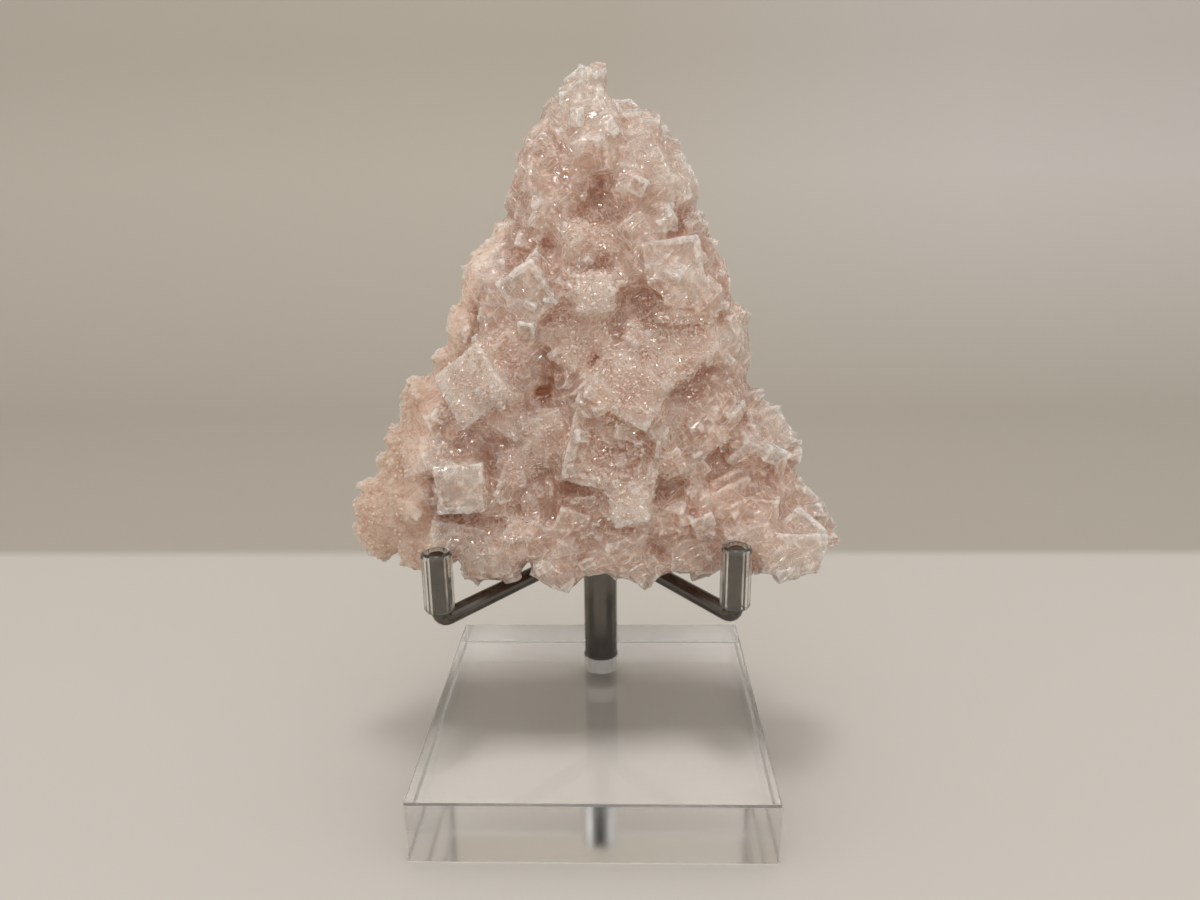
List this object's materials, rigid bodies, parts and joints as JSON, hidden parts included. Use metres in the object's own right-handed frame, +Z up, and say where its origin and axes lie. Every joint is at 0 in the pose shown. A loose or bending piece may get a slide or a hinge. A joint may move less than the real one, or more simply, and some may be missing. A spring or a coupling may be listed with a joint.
{
  "type": "halite cubic crystal cluster on a display stand",
  "caption": "Pink halite crystal cluster of stepped cubes, leaning on a clear block stand with a steel post and sleeved steel arms, for display.",
  "frame": {"origin": "centre of the clear base block's underside", "axes": "+Z up, normal to the base's underside; +X to the viewer's right of the specimen's front; -Y out of the specimen's front, towards the viewer"},
  "size_m": [0.1163, 0.08, 0.1661],
  "materials": {
    "clear_acrylic": "polished clear acrylic",
    "satin_steel": "drawn satin rod",
    "clear_vinyl": "soft clear vinyl tube",
    "pink_halite": "translucent crystal with glassy and frosted faces"
  },
  "bodies": {
    "root": {"halite": "pink_halite", "acrylic_base": "clear_acrylic", "post": "satin_steel", "arm_left": "satin_steel", "arm_right": "satin_steel", "back_prong": "satin_steel", "sleeve_left": "clear_vinyl", "sleeve_right": "clear_vinyl", "sleeve_back": "clear_vinyl"}
  },
  "joints": []
}
